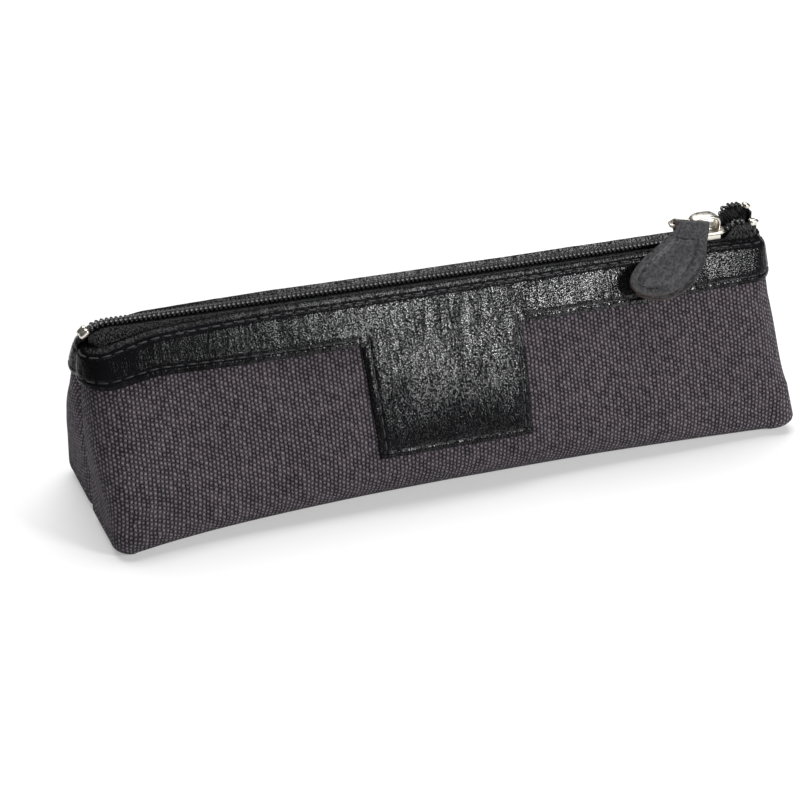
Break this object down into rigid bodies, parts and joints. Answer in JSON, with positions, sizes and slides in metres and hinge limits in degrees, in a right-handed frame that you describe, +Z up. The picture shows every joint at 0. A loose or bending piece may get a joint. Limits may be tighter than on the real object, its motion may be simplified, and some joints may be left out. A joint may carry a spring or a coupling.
{
  "type": "zipped pencil case",
  "caption": "Boxed-bottom zipped pouch for pens and pencils: woven canvas walls, leather band with a square tab, coil zip and a leather puller on a ring.",
  "frame": {"origin": "middle of the case's outline on the surface that its base stands on", "axes": "+X along the zip towards the end with the slider, the front with the tab faces -Y, +Z up"},
  "size_m": [0.2061, 0.053, 0.0618],
  "materials": {
    "canvas": "heavy plain-weave cotton canvas, matte, purplish charcoal grey",
    "lining": "thin plain-weave lining cloth, matte black",
    "band_leather": "grained black leather, semi-gloss",
    "thread": "black sewing thread, satin",
    "zip_tape": "black woven zip tape, matte",
    "nylon": "black nylon coil, satin",
    "metal": "nickel-plated, polished",
    "puller_leather": "charcoal leather, matte, with brown raw edges"
  },
  "bodies": {
    "case": {"front_canvas_panel": "canvas", "rear_canvas_panel": "canvas", "front_lining_panel": "lining", "rear_lining_panel": "lining", "front_leather_band": "band_leather", "rear_leather_band": "band_leather", "front_band_top_thread": "thread", "front_band_lower_thread": "thread", "rear_band_top_thread": "thread", "rear_band_lower_thread": "thread", "front_zip_tape": "zip_tape", "rear_zip_tape": "zip_tape", "front_zip_coil": "nylon", "rear_zip_coil": "nylon", "zip_bottom_stop": "metal", "front_top_stop": "metal", "rear_top_stop": "metal"},
    "slider": {"slider_body": "metal"},
    "ring": {"pull_ring": "metal"},
    "puller": {"puller_leather": "puller_leather", "puller_thread": "thread"}
  },
  "joints": [
    {"name": "zip_slide", "type": "slide", "parent": "case", "child": "slider", "axis": [0.9999, 0, -0.012], "range_m": [-0.167, 0]},
    {"name": "ring_hinge", "type": "hinge", "parent": "slider", "child": "ring", "pos_m": [0.07845, 0, 0.05857], "axis": [0, 1, 0], "range_deg": [0, 120]},
    {"name": "puller_hinge", "type": "hinge", "parent": "ring", "child": "puller", "pos_m": [0.07404, -0.00368, 0.05924], "axis": [-0.9709, 0.2064, 0.1219], "range_deg": [0, 95]}
  ]
}
